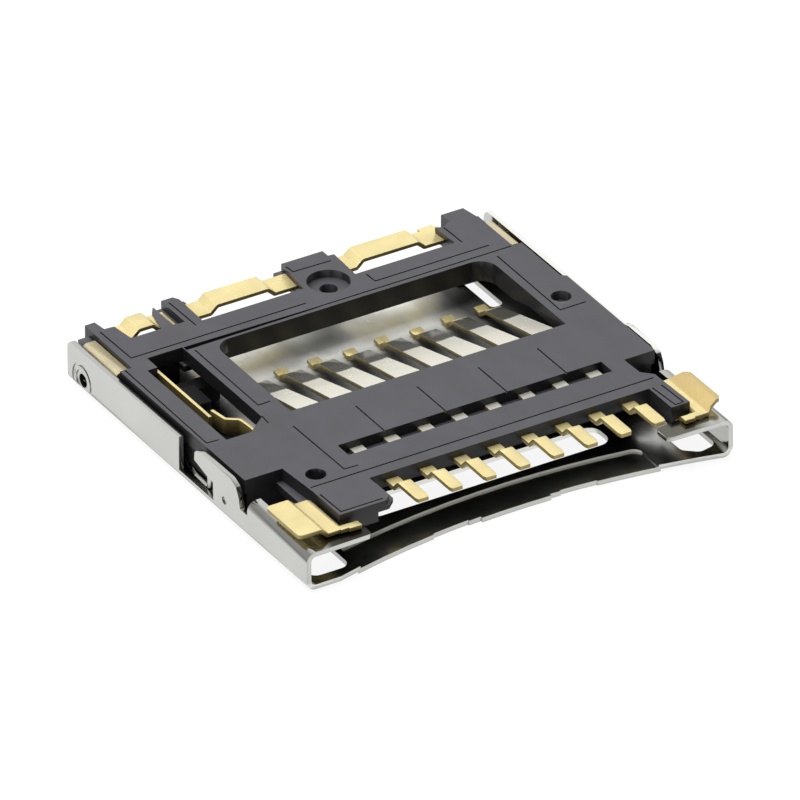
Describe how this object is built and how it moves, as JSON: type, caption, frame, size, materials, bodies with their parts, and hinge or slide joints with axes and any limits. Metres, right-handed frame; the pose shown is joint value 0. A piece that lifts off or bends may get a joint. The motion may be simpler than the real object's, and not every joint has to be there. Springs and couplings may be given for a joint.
{
  "type": "memory card connector",
  "caption": "Flat surface-mount push-push socket for a small memory card: folded steel shell, dark moulded housing with a window, comb of gold sprung contacts and solder legs.",
  "frame": {"origin": "centre of the bounding box in X and Y, at the outer face of the shell's front lip in Z", "axes": "+Z from the shell towards the circuit board side, +Y the way the card goes in, X along the card mouth"},
  "size_m": [0.0138, 0.0134, 0.0016],
  "materials": {
    "shell_steel": "satin",
    "housing_plastic": "satin",
    "slider_plastic": "satin",
    "spring_wire": "polished",
    "leaf_steel": "satin",
    "gold_contact": "polished"
  },
  "bodies": {
    "base": {"shell": "shell_steel", "housing": "housing_plastic", "switch_blade": "gold_contact", "switch_spring": "gold_contact", "left_nail": "gold_contact", "right_nail": "gold_contact", "left_ground_strip": "gold_contact", "right_ground_strip": "gold_contact", "rear_leg_left": "gold_contact", "rear_leg_middle": "gold_contact", "rear_leg_right": "gold_contact", "contact_1": "gold_contact", "contact_2": "gold_contact", "contact_3": "gold_contact", "contact_4": "gold_contact", "contact_5": "gold_contact", "contact_6": "gold_contact", "contact_7": "gold_contact", "contact_8": "gold_contact", "eject_spring": "spring_wire"},
    "slider": {"eject_slider": "slider_plastic", "card_leaf": "leaf_steel"},
    "pin": {"lock_pin": "spring_wire"}
  },
  "joints": [
    {"name": "slider_travel", "type": "slide", "parent": "base", "child": "slider", "axis": [0, 1, 0], "range_m": [0, 0.0011], "stiffness_N_per_m": 300, "springref_m": -0.002, "deforming": ["eject_spring"]},
    {"name": "pin_swing", "type": "hinge", "parent": "base", "child": "pin", "pos_m": [-0.00666, -0.001, 0], "axis": [0, 0, 1], "range_deg": [-2.5, 0]}
  ],
  "couplings": [
    {"joint": "pin_swing", "follows": "slider_travel", "rad_per_m": -37.6}
  ]
}
